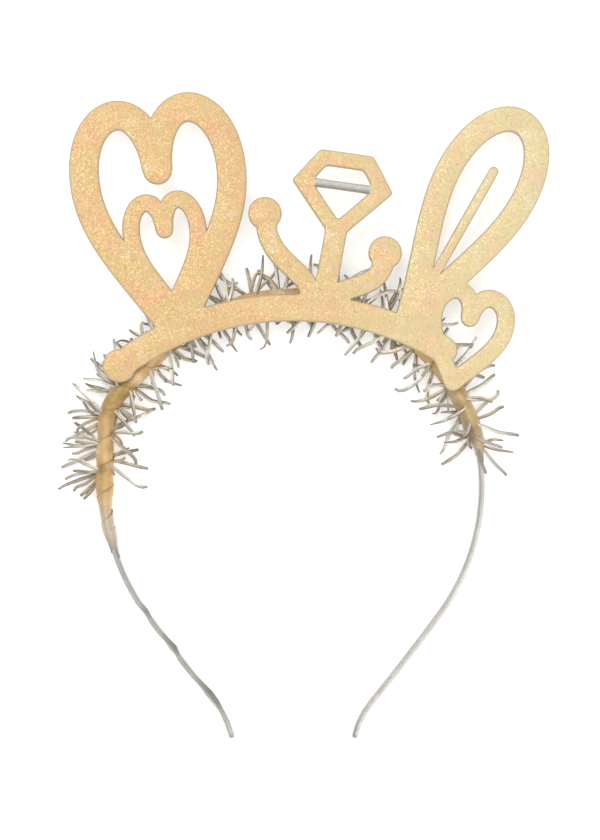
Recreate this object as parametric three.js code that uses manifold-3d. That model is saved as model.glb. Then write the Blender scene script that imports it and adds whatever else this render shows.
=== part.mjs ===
// A bridal headband: a sprung metal band, wound over its crown with gold ribbon and a tinsel fringe,
// carries a die-cut glitter panel with a heart, a gem and a leaf on an arched foot.
// It lies on its back: +Z points out of the panel's face, +Y to the panel's top, and the floor is z = 0.
// Millimetres. The origin is the centre of the outline on the floor.
import * as THREE from "three";
import { mergeVertices } from "three/addons/utils/BufferGeometryUtils.js";
import Module from "manifold-3d";

const wasm = await Module();
wasm.setup();
const { degToRad, radToDeg, lerp, clamp, smoothstep } = THREE.MathUtils;

// Headband
const BAND_THICKNESS = 1.6;
const BAND_WIDTH = 4.4;
const BAND_CHAMFER = 0.35;
const BAND_STEP = 5;
const BAND_AXIS_X = -2.8;
const CROWN_CENTRE_Y = -22.8;
const CROWN_RADIUS = 62.6;
const LEG_RADIUS = 72;
const LEG_SWEEP = 36.5;

// Halves of the band's line, from the middle of the crown to a tip. Turns are clockwise on the right half.
// The left shoulder is sprung out. Its line is longer than the crown's arc by its pace, so that distances on
// both legs stay the same.
const SHOULDER_PACE = 1.0338;
const LEG = [
  { stretch: "leg bend", length: LEG_RADIUS * degToRad(LEG_SWEEP), turn: LEG_SWEEP, pace: 1 },
  { stretch: "leg", length: 37.5, turn: 2.5, pace: 1 },
  { stretch: "tip", length: 12.5, turn: -28, pace: 1 },
];
const HALF_BAND = {
  left: [
    { stretch: "crown", length: CROWN_RADIUS * degToRad(44), turn: 44, pace: 1 },
    { stretch: "shoulder run", length: 19.955, turn: 3, pace: SHOULDER_PACE },
    { stretch: "shoulder", length: 9.673, turn: 39, pace: SHOULDER_PACE },
    { stretch: "side", length: 20.632, turn: 4, pace: SHOULDER_PACE },
    ...LEG,
  ],
  right: [{ stretch: "crown", length: CROWN_RADIUS * degToRad(90), turn: 90, pace: 1 }, ...LEG],
};
const HALF_LENGTH = HALF_BAND.right.reduce((sum, row) => sum + row.length, 0);

// The left leg is bent out of true, so that its flat side shows in three places.
const LEFT_LEG_TWIST = [
  { beforeTip: 50.5, length: 7, twist: 15 },
  { beforeTip: 37, length: 10, twist: 24 },
  { beforeTip: 16, length: 20, twist: 22 },
];

// Ribbon and fringe, wound side by side round the band. A skin is the half size of the oval that it follows.
const WINDING_PITCH = 9;
const INNER_SKIN = { side: 1.6, edge: 2.9 };
const RIBBON_SKIN = { side: 3.1, edge: 3.6 };
const RIBBON_SKIN_ALONE = { side: 2.3, edge: 3.55 };
const FRINGE_SKIN = { side: 2.7, edge: 3.35 };
const RIBBON_WIDTH = 4.8;
const RIBBON_WIDTH_ALONE = 8.5;
const FRINGE_BACKING_WIDTH = 2.4;
const RIBBON_START = -121;
const RIBBON_END = 90;
const FRINGE_START = -101;
const FRINGE_END = 87;
const RIBBON_STEPS_A_TURN = 9;
const FRINGE_STEPS_A_TURN = 6;
const RIBBON_PHASE = 0;
const FRINGE_PHASE = Math.PI;
const BAND_Z = RIBBON_SKIN.edge;

// Tinsel strips of the fringe: thin blades, each with one bend, and angles in degrees
const STRIPS_A_SIDE = 3;
const STRIP_ROOT_WIDTH = 1.2;
const STRIP_WIDTH = 1.8;
const STRIP_TIP_WIDTH = 1.2;
const STRIP_THICKNESS = 0.3;
const STRIP_SHORTEST = 8.5;
const STRIP_LONGEST = 16;
const STRIP_BEND_SHARE = 0.55;
const STRIP_BEND = 22;
const STRIP_FAN = 28;
const STRIP_FAN_STRAY = 8;
const STRIP_END_SPLAY = 20;
const STRIP_RISE_STRAY = 0.3;
const STRIP_ROLL = 25;
const STRIP_LOWEST_Z = 0.9;
const STRIP_HIGHEST_Z = 12;
const STRIP_ROOT_SPREAD = 48;
const STRIP_ROOT_DEPTH = 0.4;

// Glitter panel
const PANEL_GAP = 0.3;
const PANEL_THICKNESS = 2.4;
const PANEL_BACK_Z = 2 * RIBBON_SKIN.edge + PANEL_GAP;
const STROKE_END_STEPS = 6;
const BALL_STEPS = 18;

// Strips that start above this line lie under the panel.
const UNDER_PANEL_Y = 0;

// The foot, an arc over the crown of the band.
const FOOT = { centreY: -59, radius: 95, fromAngle: 127, toAngle: 58.5, stroke: 9, steps: 16 };

// Hearts: where the tip is, the size along the middle of the stroke, and the lean to the left in degrees.
const HEARTS = [
  { name: "great", tipX: -41, tipY: 28.5, width: 48.5, height: 72, lean: 7, stroke: 9.8, steps: 16 },
  { name: "inner", tipX: -42, tipY: 36, width: 22, height: 35, lean: 7, stroke: 5.8, steps: 10 },
  { name: "end", tipX: 49.8, tipY: 11.5, width: 24, height: 29.5, lean: -15, stroke: 6, steps: 10 },
];

// Half of a heart as shares of its half width and height: two cubic curves that meet at the waist.
const HEART_HALF = [
  { place: "tip", across: 0, up: 0 },
  { place: "handle", across: 0.55, up: 0.3 },
  { place: "handle", across: 1, up: 0.48 },
  { place: "waist", across: 1, up: 0.72 },
  { place: "handle", across: 1, up: 1.06 },
  { place: "handle", across: 0.08, up: 1.14 },
  { place: "cleft", across: 0, up: 0.74 },
];

// Tendrils: a curve from the foot to a ball, each with the reach of its two ends along the Y axis.
const TENDRILS = [
  { name: "tall", rootX: 4, rootY: 36, ballX: -12, ballY: 67, rootReach: 14, ballReach: 18 },
  { name: "short", rootX: 8, rootY: 36, ballX: 27.5, ballY: 54, rootReach: 9, ballReach: 15 },
];
const TENDRIL_STROKE = 6.8;
const BALL_DIAMETER = 11;
const TENDRIL_STEPS = 8;

// A leaf's rim, and half of it as shares of its half width and length.
const LEAF = { rootX: 34, rootY: 29.5, tipX: 72.5, tipY: 97, belly: 25, stroke: 8.4, steps: 12 };
const LEAF_HALF = [
  { place: "root", across: 0, up: 0 },
  { place: "handle", across: 0.35, up: 0.3 },
  { place: "handle", across: 1.3, up: 0.55 },
  { place: "shoulder", across: 1, up: 0.8 },
  { place: "handle", across: 0.85, up: 0.93 },
  { place: "handle", across: 0.43, up: 1 },
  { place: "tip", across: 0, up: 1 },
];
const LEAF_VEIN = { fromShare: 0.08, toShare: 0.76, stroke: 3.2 };

// A gem outline, its girdle level with its centre before it leans.
const GEM = { centreX: 13.5, centreY: 76, width: 27, table: 15, crown: 8.5, pavilion: 15, lean: -8 };
const GEM_FRAME = 5.2;
const GEM_GIRDLE_BAR = 2.8;
const GEM_STEM = { footX: 6.5, footY: 35, stroke: 7.4 };

// Corners closer than this are one corner.
const MERGE_DISTANCE = 1e-4;

// A closed triangle mesh as a solid that can be joined.
function solidFrom(geometry) {
  const bare = geometry.index ? geometry.toNonIndexed() : geometry.clone();
  bare.deleteAttribute("normal");
  bare.deleteAttribute("uv");
  const merged = mergeVertices(bare, MERGE_DISTANCE);
  const triVerts = new Uint32Array(merged.index.array);
  const vertProperties = merged.attributes.position.array;
  return new wasm.Manifold(new wasm.Mesh({ numProp: 3, vertProperties, triVerts }));
}

function geometryFrom(solid) {
  const mesh = solid.getMesh();
  const geometry = new THREE.BufferGeometry();
  geometry.setAttribute("position", new THREE.BufferAttribute(mesh.vertProperties, 3));
  geometry.setIndex(new THREE.BufferAttribute(mesh.triVerts, 1));
  geometry.computeVertexNormals();
  return geometry;
}

// The place on the band's line at a signed distance from the middle of the crown, right being positive.
function bandFrame(distance) {
  const side = distance < 0 ? -1 : 1;
  let left = Math.abs(distance);
  let heading = 0;
  let x = 0;
  let y = CROWN_RADIUS;
  for (const { length, turn, pace } of distance < 0 ? HALF_BAND.left : HALF_BAND.right) {
    const walked = Math.min(left, length);
    const turned = degToRad(turn) * (walked / length);
    const radius = (pace * length) / degToRad(turn);
    x += radius * (Math.sin(heading + turned) - Math.sin(heading));
    y += radius * (Math.cos(heading + turned) - Math.cos(heading));
    heading += turned;
    left -= walked;
    if (left <= 0) break;
  }
  return {
    point: new THREE.Vector3(BAND_AXIS_X + side * x, CROWN_CENTRE_Y + y, BAND_Z),
    along: new THREE.Vector3(Math.cos(heading), -side * Math.sin(heading), 0),
    outward: new THREE.Vector3(side * Math.sin(heading), Math.cos(heading), 0),
  };
}

// A point beside the band's line: out from the crown's inside, and up towards the panel.
function besideBand(distance, out, up) {
  const { point, outward } = bandFrame(distance);
  return point.addScaledVector(outward, out).setZ(BAND_Z + up);
}

// A closed solid through rings of points, each ring counter-clockwise as seen from the last ring.
function sweptGeometry(rings) {
  const corners = rings[0].length;
  const last = (rings.length - 1) * corners;
  const index = [];
  for (let ring = 0; ring < rings.length - 1; ring++) {
    for (let corner = 0; corner < corners; corner++) {
      const a = ring * corners + corner;
      const b = ring * corners + ((corner + 1) % corners);
      index.push(a, b, a + corners, b, b + corners, a + corners);
    }
  }
  for (let corner = 1; corner < corners - 1; corner++) {
    index.push(0, corner + 1, corner, last, last + corner, last + corner + 1);
  }
  const geometry = new THREE.BufferGeometry().setFromPoints(rings.flat());
  geometry.setIndex(index);
  geometry.computeVertexNormals();
  return geometry;
}

// How far the band is twisted about its own line: each row of the table is a smooth swell.
function bandTwist(distance) {
  const beforeTip = HALF_LENGTH + distance;
  return LEFT_LEG_TWIST.reduce((sum, row) => {
    const share = clamp((beforeTip - row.beforeTip) / row.length, -0.5, 0.5);
    return sum + degToRad(row.twist) * Math.cos(Math.PI * share) ** 2;
  }, 0);
}

function headBandGeometry() {
  const side = BAND_THICKNESS / 2;
  const edge = BAND_WIDTH / 2;
  const quarter = [
    [side, edge - BAND_CHAMFER],
    [side - BAND_CHAMFER, edge],
  ];
  const section = [
    ...quarter,
    ...quarter.map(([out, up]) => [-out, up]).reverse(),
    ...quarter.map(([out, up]) => [-out, -up]),
    ...quarter.map(([out, up]) => [out, -up]).reverse(),
  ];
  const steps = Math.round((2 * HALF_LENGTH) / BAND_STEP);
  const rings = [];
  for (let step = 0; step <= steps; step++) {
    const distance = lerp(-HALF_LENGTH, HALF_LENGTH, step / steps);
    const twist = bandTwist(distance);
    rings.push(
      section.map(([out, up]) =>
        besideBand(
          distance,
          out * Math.cos(twist) - up * Math.sin(twist),
          out * Math.sin(twist) + up * Math.cos(twist),
        ),
      ),
    );
  }
  return sweptGeometry(rings);
}

// The angle round the band at which a winding passes a distance: 0 is outward and 90 degrees is up.
const windingAngle = (distance, phase) => phase + (2 * Math.PI * distance) / WINDING_PITCH;

const onSkin = (distance, angle, skin) =>
  besideBand(distance, skin.side * Math.cos(angle), skin.edge * Math.sin(angle));

// A flat strip wound round the band as a screw, its width and skin given as functions of the distance.
function windingGeometry({ start, end, phase, widthAt, skinAt, stepsATurn }) {
  const steps = Math.round(((end - start) / WINDING_PITCH) * stepsATurn);
  const rings = [];
  for (let step = 0; step <= steps; step++) {
    const distance = lerp(start, end, step / steps);
    const angle = windingAngle(distance, phase);
    const half = widthAt(distance) / 2;
    const skin = skinAt(distance);
    rings.push([
      onSkin(distance - half, angle, INNER_SKIN),
      onSkin(distance + half, angle, INNER_SKIN),
      onSkin(distance + half, angle, skin),
      onSkin(distance - half, angle, skin),
    ]);
  }
  return sweptGeometry(rings);
}

// How far the ribbon's turns are spread by the fringe: beyond it they close up and lie flatter.
function ribbonSpread(distance) {
  const lastPlainTurn = FRINGE_START - WINDING_PITCH;
  return smoothstep(distance, lastPlainTurn - WINDING_PITCH, lastPlainTurn);
}

const ribbonWidth = (distance) => lerp(RIBBON_WIDTH_ALONE, RIBBON_WIDTH, ribbonSpread(distance));

const ribbonSkin = (distance) => ({
  side: lerp(RIBBON_SKIN_ALONE.side, RIBBON_SKIN.side, ribbonSpread(distance)),
  edge: lerp(RIBBON_SKIN_ALONE.edge, RIBBON_SKIN.edge, ribbonSpread(distance)),
});

const ribbonGeometry = () =>
  windingGeometry({
    start: RIBBON_START,
    end: RIBBON_END,
    phase: RIBBON_PHASE,
    widthAt: ribbonWidth,
    skinAt: ribbonSkin,
    stepsATurn: RIBBON_STEPS_A_TURN,
  });

// Even but unrepeating shares between 0 and 1, one series for each use.
const SERIES = { length: 0.6180339, fan: 0.7548776, rise: 0.5698402, roll: 0.4655712, bend: 0.3247179 };
const share = (series, count) => (0.5 + count * SERIES[series]) % 1;

// The turn of the strips towards an end of the fringe, felt only close to that end.
function endSplay(distance) {
  const middle = (FRINGE_START + FRINGE_END) / 2;
  const towardsEnd = (distance - middle) / (FRINGE_END - middle);
  return STRIP_END_SPLAY * towardsEnd ** 9;
}

// One tinsel strip: a thin blade from a root inside the fringe's backing, through a bend to its tip.
function stripGeometry(count, distance, angle, aside) {
  const { along, outward } = bandFrame(distance);
  const outOrIn = Math.sign(Math.cos(angle));
  const root = onSkin(distance, angle, INNER_SKIN).lerp(onSkin(distance, angle, FRINGE_SKIN), STRIP_ROOT_DEPTH);
  const length = lerp(STRIP_SHORTEST, STRIP_LONGEST, share("length", count));
  const fan = STRIP_FAN * aside + STRIP_FAN_STRAY * (2 * share("fan", count) - 1) + endSplay(distance);
  const bend = STRIP_BEND * (2 * share("bend", count) - 1);
  const highest = root.y > UNDER_PANEL_Y ? PANEL_BACK_Z - STRIP_WIDTH : STRIP_HIGHEST_Z;
  const rise = lerp((1 + outOrIn * aside) / 2, share("rise", count), STRIP_RISE_STRAY);
  const tipZ = lerp(STRIP_LOWEST_Z, highest, rise);
  const heading = (degrees) =>
    new THREE.Vector3()
      .addScaledVector(outward, outOrIn * Math.cos(degToRad(degrees)))
      .addScaledVector(along, Math.sin(degToRad(degrees)));
  const middle = root
    .clone()
    .addScaledVector(heading(fan), length * STRIP_BEND_SHARE)
    .setZ(lerp(root.z, tipZ, STRIP_BEND_SHARE));
  const tip = middle
    .clone()
    .addScaledVector(heading(fan + bend), length * (1 - STRIP_BEND_SHARE))
    .setZ(tipZ);
  const direction = tip.clone().sub(root).normalize();
  const roll = degToRad(STRIP_ROLL) * (2 * share("roll", count) - 1);
  const across = new THREE.Vector3(-direction.y, direction.x, 0).normalize().applyAxisAngle(direction, roll);
  const through = direction.clone().cross(across);
  const ring = (centre, width) =>
    [[-1, -1], [1, -1], [1, 1], [-1, 1]].map(([a, t]) =>
      centre
        .clone()
        .addScaledVector(across, (a * width) / 2)
        .addScaledVector(through, (t * STRIP_THICKNESS) / 2),
    );
  return sweptGeometry([
    ring(root, STRIP_ROOT_WIDTH),
    ring(middle, STRIP_WIDTH),
    ring(tip, STRIP_TIP_WIDTH),
  ]);
}

// The fringe: a backing strip wound between the ribbon's turns, with strips out to both sides of the band.
function tinselGeometry() {
  const backing = windingGeometry({
    start: FRINGE_START,
    end: FRINGE_END,
    phase: FRINGE_PHASE,
    widthAt: () => FRINGE_BACKING_WIDTH,
    skinAt: () => FRINGE_SKIN,
    stepsATurn: FRINGE_STEPS_A_TURN,
  });
  const solids = [solidFrom(backing)];
  const halfTurn = WINDING_PITCH / 2;
  const firstPass = Math.ceil(FRINGE_START / halfTurn) + 1;
  const lastPass = Math.floor(FRINGE_END / halfTurn) - 1;
  for (let pass = firstPass; pass <= lastPass; pass++) {
    for (let strip = 0; strip < STRIPS_A_SIDE; strip++) {
      const count = solids.length;
      const aside = (2 * strip) / (STRIPS_A_SIDE - 1) - 1;
      const distance = pass * halfTurn + (WINDING_PITCH * STRIP_ROOT_SPREAD * aside) / 360;
      const angle = windingAngle(distance, FRINGE_PHASE);
      solids.push(solidFrom(stripGeometry(count, distance, angle, aside)));
    }
  }
  return geometryFrom(wasm.Manifold.union(solids));
}

// A stroke of one width along a curve, with round ends.
function strokeShape(curve, width, steps) {
  const points = curve.getPoints(steps);
  const last = points.length - 1;
  const normals = points.map((_, i) => {
    const ahead = points[Math.min(i + 1, last)].clone().sub(points[Math.max(i - 1, 0)]).normalize();
    return new THREE.Vector2(-ahead.y, ahead.x);
  });
  const side = (i, sign) => points[i].clone().addScaledVector(normals[i], (sign * width) / 2);
  const end = (i, sign) =>
    Array.from({ length: STROKE_END_STEPS - 1 }, (_, step) =>
      side(i, sign).rotateAround(points[i], (-Math.PI * (step + 1)) / STROKE_END_STEPS),
    );
  const right = points.map((_, i) => side(i, -1)).reverse();
  return new THREE.Shape([...points.map((_, i) => side(i, 1)), ...end(last, 1), ...right, ...end(0, -1)]);
}

// A point of a motif's own upright frame, leant to the left and moved to the motif's place.
function placed(across, up, origin, lean) {
  return new THREE.Vector2(across, up).rotateAround(new THREE.Vector2(), degToRad(lean)).add(origin);
}

// One side of a motif that is alike on both sides, from its root, as two cubic curves in a row.
function halfMotif(rows, side, { origin, lean, width, height }) {
  const points = rows.map(({ across, up }) => placed((side * across * width) / 2, up * height, origin, lean));
  const path = new THREE.CurvePath();
  path.add(new THREE.CubicBezierCurve(...points.slice(0, 4)));
  path.add(new THREE.CubicBezierCurve(...points.slice(3)));
  return path;
}

function heartHalf({ tipX, tipY, width, height, lean }, side) {
  return halfMotif(HEART_HALF, side, { origin: new THREE.Vector2(tipX, tipY), lean, width, height });
}

const leafRoot = new THREE.Vector2(LEAF.rootX, LEAF.rootY);
const leafTip = new THREE.Vector2(LEAF.tipX, LEAF.tipY);

function leafHalf(side) {
  const rib = leafTip.clone().sub(leafRoot);
  const lean = radToDeg(rib.angle()) - 90;
  return halfMotif(LEAF_HALF, side, { origin: leafRoot, lean, width: LEAF.belly, height: rib.length() });
}

function leafVein() {
  const ends = [LEAF_VEIN.fromShare, LEAF_VEIN.toShare].map((share) => leafRoot.clone().lerp(leafTip, share));
  return new THREE.LineCurve(...ends);
}

const tendrilCurve = ({ rootX, rootY, ballX, ballY, rootReach, ballReach }) =>
  new THREE.CubicBezierCurve(
    new THREE.Vector2(rootX, rootY),
    new THREE.Vector2(rootX, rootY + rootReach),
    new THREE.Vector2(ballX, ballY - ballReach),
    new THREE.Vector2(ballX, ballY),
  );

// A ball at one end of a curve: 0 is its start and 1 its far end.
function ballShape(curve, end) {
  const { x, y } = curve.getPoint(end);
  const circle = new THREE.EllipseCurve(x, y, BALL_DIAMETER / 2, BALL_DIAMETER / 2);
  return new THREE.Shape(circle.getPoints(BALL_STEPS).slice(0, -1));
}

function footCurve() {
  const { centreY, radius, fromAngle, toAngle } = FOOT;
  return new THREE.EllipseCurve(
    BAND_AXIS_X, centreY, radius, radius, degToRad(fromAngle), degToRad(toAngle), true,
  );
}

// A polygon moved outward by a distance, or inward where it is negative, with its corners kept sharp.
function grownPolygon(points, distance) {
  return points.map((point, i) => {
    const before = point.clone().sub(points.at(i - 1)).normalize();
    const after = points[(i + 1) % points.length].clone().sub(point).normalize();
    const normals = [before, after].map((edge) => new THREE.Vector2(edge.y, -edge.x));
    const mitre = normals[0].clone().add(normals[1]);
    return point.clone().addScaledVector(mitre, (2 * distance) / mitre.lengthSq());
  });
}

// The gem's outline along the middle of its frame, counter-clockwise from the right end of its girdle.
function gemCorners() {
  const { centreX, centreY, width, table, crown, pavilion, lean } = GEM;
  const corners = [
    [width / 2, 0],
    [table / 2, crown],
    [-table / 2, crown],
    [-width / 2, 0],
    [0, -pavilion],
  ];
  const centre = new THREE.Vector2(centreX, centreY);
  return corners.map(([across, up]) => placed(across, up, centre, lean));
}

function gemShapes() {
  const corners = gemCorners();
  const [girdleRight, , , girdleLeft, culet] = corners;
  const frame = new THREE.Shape(grownPolygon(corners, GEM_FRAME / 2));
  frame.holes.push(new THREE.Path(grownPolygon(corners, -GEM_FRAME / 2)));
  const bar = strokeShape(new THREE.LineCurve(girdleLeft, girdleRight), GEM_GIRDLE_BAR, 1);
  const stemFoot = new THREE.Vector2(GEM_STEM.footX, GEM_STEM.footY);
  const stem = strokeShape(new THREE.LineCurve(culet, stemFoot), GEM_STEM.stroke, 1);
  return [frame, bar, stem];
}

// The panel: every motif cut from one sheet, so their strokes are joined into one solid.
function panelGeometry() {
  const shapes = [
    strokeShape(footCurve(), FOOT.stroke, FOOT.steps),
    ballShape(footCurve(), 0),
    ...HEARTS.flatMap((heart) =>
      [-1, 1].map((side) => strokeShape(heartHalf(heart, side), heart.stroke, heart.steps)),
    ),
    ...TENDRILS.map(tendrilCurve).flatMap((curve) => [
      strokeShape(curve, TENDRIL_STROKE, TENDRIL_STEPS),
      ballShape(curve, 1),
    ]),
    ...[-1, 1].map((side) => strokeShape(leafHalf(side), LEAF.stroke, LEAF.steps)),
    strokeShape(leafVein(), LEAF_VEIN.stroke, 1),
    ...gemShapes(),
  ];
  const sheets = shapes.map((shape) =>
    solidFrom(new THREE.ExtrudeGeometry(shape, { depth: PANEL_THICKNESS, bevelEnabled: false })),
  );
  return geometryFrom(wasm.Manifold.union(sheets));
}

function piece(name, geometry, color, roughness, metalness) {
  const mesh = new THREE.Mesh(geometry, new THREE.MeshStandardMaterial({ color, roughness, metalness }));
  mesh.name = name;
  return mesh;
}

const headband = new THREE.Group();
headband.add(piece("head_band", headBandGeometry(), 0xb9b29c, 0.35, 1));
headband.add(piece("ribbon_wrap", ribbonGeometry(), 0xc9a56a, 0.5, 0.6));
headband.add(piece("tinsel_garland", tinselGeometry(), 0xb4b0a8, 0.25, 1));
const panel = piece("scroll_panel", panelGeometry(), 0xeeca94, 0.6, 0.3);
panel.position.z = PANEL_BACK_Z;
headband.add(panel);

export default headband;
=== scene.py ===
# A bridal headband on a pale table, seen from straight above: a sprung metal band, wound over its crown
# with gold satin ribbon and a tinsel fringe, and a die-cut glitter panel on the front of the crown.
# Metres, in the frame of the solids: +Z out of the panel's face, +Y to the panel's top, floor at z = 0.
import math

import bpy
import numpy as np
from mathutils import Euler, Matrix, Vector, noise


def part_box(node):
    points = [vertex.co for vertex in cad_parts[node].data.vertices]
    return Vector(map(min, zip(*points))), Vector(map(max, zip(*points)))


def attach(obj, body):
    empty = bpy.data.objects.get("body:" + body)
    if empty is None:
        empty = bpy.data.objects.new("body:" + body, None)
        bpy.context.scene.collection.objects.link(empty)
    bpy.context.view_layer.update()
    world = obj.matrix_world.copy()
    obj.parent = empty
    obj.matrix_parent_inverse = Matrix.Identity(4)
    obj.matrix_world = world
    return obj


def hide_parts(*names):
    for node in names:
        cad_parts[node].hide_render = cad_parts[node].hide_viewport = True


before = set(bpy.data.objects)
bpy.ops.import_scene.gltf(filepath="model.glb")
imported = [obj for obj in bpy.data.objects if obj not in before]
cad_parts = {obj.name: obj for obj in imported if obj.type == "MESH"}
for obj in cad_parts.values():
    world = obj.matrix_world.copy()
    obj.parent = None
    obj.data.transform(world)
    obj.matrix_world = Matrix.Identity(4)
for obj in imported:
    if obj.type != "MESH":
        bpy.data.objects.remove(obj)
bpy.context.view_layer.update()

MM = 0.001

# Photograph: its height in pixels, the real size of a pixel, and the point of the object at its centre
FRAME_HEIGHT = 840
PIXEL = 0.33 * MM
FRAME_CENTRE = (-0.5 * MM, -1.0 * MM)
CAMERA_HEIGHT = 0.65
SENSOR = 36.0

# Headband
BAND_THICKNESS = 1.6 * MM
BAND_WIDTH = 4.4 * MM
BAND_EDGE_ROUND = 0.35 * MM
BAND_EDGE_SEGMENTS = 3
BAND_EDGE_ANGLE = math.radians(40)
BAND_END_ROUND = 1.5 * MM
BAND_END_SEGMENTS = 6
BAND_SMOOTH = math.radians(35)
BAND_AXIS_X = -2.8 * MM
CROWN_CENTRE_Y = -22.8 * MM
CROWN_RADIUS = 62.6 * MM
LEG_RADIUS = 72 * MM
LEG_SWEEP = math.radians(36.5)
BAND_RINGS = 260
BAND_LINE_POINTS = 400
BAND_Z = (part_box("head_band")[0].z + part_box("head_band")[1].z) / 2

# Halves of the band's line, from the middle of the crown to a tip: length, clockwise turn and pace of each
# stretch. The left shoulder is sprung out, and its line is longer than the crown's arc by its pace.
SHOULDER_PACE = 1.0338
LEG = {
    "leg bend": (LEG_RADIUS * LEG_SWEEP, LEG_SWEEP, 1),
    "leg": (37.5 * MM, math.radians(2.5), 1),
    "tip": (12.5 * MM, math.radians(-28), 1),
}
LEFT_HALF = {
    "crown": (CROWN_RADIUS * math.radians(44), math.radians(44), 1),
    "shoulder run": (19.955 * MM, math.radians(3), SHOULDER_PACE),
    "shoulder": (9.673 * MM, math.radians(39), SHOULDER_PACE),
    "side": (20.632 * MM, math.radians(4), SHOULDER_PACE),
    **LEG,
}
RIGHT_HALF = {"crown": (CROWN_RADIUS * math.radians(90), math.radians(90), 1), **LEG}
HALF_LENGTH = sum(length for length, turn, pace in RIGHT_HALF.values())

# The left leg is bent out of true: distance before the tip, length and twist of each place
LEFT_LEG_TWIST = (
    (50.5 * MM, 7 * MM, math.radians(15)),
    (37 * MM, 10 * MM, math.radians(24)),
    (16 * MM, 20 * MM, math.radians(22)),
)
TWIST_SHIFT = 0.5

# Ribbon and fringe, wound round the band. A skin is the half size of an oval: to the side and to the edge.
WINDING_PITCH = 9 * MM
INNER_SKIN = np.array((1.6, 2.9)) * MM
FRINGE_SKIN = np.array((2.7, 3.35)) * MM
RIBBON_SKIN = np.array((3.0, 3.36)) * MM
RIBBON_SKIN_ALONE = np.array((2.15, 3.3)) * MM
RIBBON_SKIN_END = np.array((1.0, 2.38)) * MM
RIBBON_FOLD = np.array((0.2, 0.08)) * MM
RIBBON_PUCKER_SHARE = 0.6
RIBBON_WIDTH = 10.4 * MM
RIBBON_TUCK = 0.42 * MM
RIBBON_THICKNESS = 0.2 * MM
RIBBON_SMOOTH = math.radians(50)

# Reach of the ribbon and the fringe along the band, the slant of the ribbon's cut ends, and how its turns
# crowd together there: over what length, and how far on the left and on the right
RIBBON_START = -14 * WINDING_PITCH
RIBBON_END = 10 * WINDING_PITCH
RIBBON_CUT = 0.5 * WINDING_PITCH
RIBBON_CROWDED = 1.5 * WINDING_PITCH
RIBBON_CROWDING = (4.7 * MM, 4.2 * MM)
RIBBON_LIMITS = (-123.2 * MM, 91 * MM)
FRINGE_START = -101 * MM
FRINGE_END = 87 * MM
FRINGE_PHASE = math.pi
RIBBON_STEPS_A_TURN = 30
RIBBON_STEPS_ACROSS = 10

# Where the ribbon spreads over the fringe, and where its ends and its outermost edges lie snug on the band
RIBBON_SPREADS = (FRINGE_START - 0.7 * WINDING_PITCH, FRINGE_START + 0.3 * WINDING_PITCH)
RIBBON_SNUG_END = 0.9 * RIBBON_WIDTH
RIBBON_SNUG_EDGE = (1.3 * WINDING_PITCH, 0.9 * WINDING_PITCH)
RIBBON_OUTER_EDGE = (-0.5, 0.8)
LOOSE_SQUARENESS = 2
SNUG_SQUARENESS = 6
SNUG_FOLDS = 0.2

# Unevenness of the winding: changes to a turn and to a half width, and a place of its own in the noise
RIBBON_SEED = 3
WANDER_CHANGES = 0.8
WANDER_PLACE = (0.3, 0.7)
WANDER_SHIFT = 0.7 * MM
WANDER_WIDTH = 0.12
WANDER_TUCK = 0.5
CREASES = (3.4, 2.4, 4.1)
PUCKERS = (13.8, 0.9, 8.3)

# Colour changes towards the ribbon's ends: where they begin and are full, how strong they are, and their
# colour
RIBBON_ENDS = (
    (-100 * MM, -112 * MM, 0.85, (0.56, 0.485, 0.39)),
    (-114 * MM, -120 * MM, 0.85, (0.34, 0.27, 0.23)),
    (55 * MM, 70 * MM, 0.55, (0.42, 0.32, 0.17)),
    (78 * MM, 88 * MM, 0.75, (0.46, 0.4, 0.33)),
)

# Stains on the ribbon, and a painted shadow of the panel: place and reach along the band and outward, how
# strong they are, and their colour
RIBBON_STAINS_AND_SHADOW = (
    # painted shadow of the panel over the top of the left wrap
    ((-69 * MM, 0), (9 * MM, 8 * MM), 0.75, (0.3, 0.2, 0.045)),
    ((72 * MM, -1.5 * MM), (5 * MM, 3 * MM), 0.6, (0.3, 0.25, 0.07)),
    ((80 * MM, -1.4 * MM), (6 * MM, 3 * MM), 0.8, (0.2, 0.13, 0.09)),
    ((-93 * MM, 0.5 * MM), (2.5 * MM, 2 * MM), 0.6, (0.25, 0.14, 0.05)),
)

# Tinsel strips
STRIPS_A_SIDE = 3
STRIP_SHORTEST = 8.5 * MM
STRIP_LONGEST = 16 * MM
STRIP_BEND = math.radians(22)
STRIP_BEND_SPAN = (0.3, 0.8)
STRIP_FAN = math.radians(28)
STRIP_FAN_STRAY = math.radians(8)
STRIP_END_SPLAY = math.radians(20)
FILLER_END_SPLAY = math.radians(60)
END_SPLAY_STEEPNESS = 9
STRIP_RISE_STRAY = 0.3
STRIP_ROLL = math.radians(25)
STRIP_TURN = math.radians(70)
STRIP_LOWEST_Z = 0.9 * MM
STRIP_HIGHEST_Z = 11.2 * MM
STRIP_ROOT_SPREAD = 48 / 360
STRIP_ROOT_DEPTH = 0.4
STRIP_WIDTH = 1.35 * MM
STRIP_CREASE = 0.24 * MM
STRIP_THICKNESS = 0.1 * MM
STRIP_TAPER = {0: 0.7, 0.35: 1, 0.85: 0.95, 1: 0.7}
STRIP_SMOOTH = math.radians(30)
STRIP_SEGMENTS = 9
STRIP_WALK_STEPS = 40
STRIP_KINK = math.radians(16)
STRIP_KINK_SPAN = (0.5, 0.62)
STRIP_HOOK = math.radians(75)
STRIP_HOOK_SPAN = (0.74, 1)
STRIP_SAG = 0.6 * MM
FILLER_STRIPS = {"left bunch": 6, "right outside": 0, "elsewhere": 3}
LEFT_BUNCH_UNTIL = -58 * MM
RIGHT_OUTSIDE = (45 * MM, 80 * MM)
FILLER_LENGTH = {1: 0.8, -1: 0.5}
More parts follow.
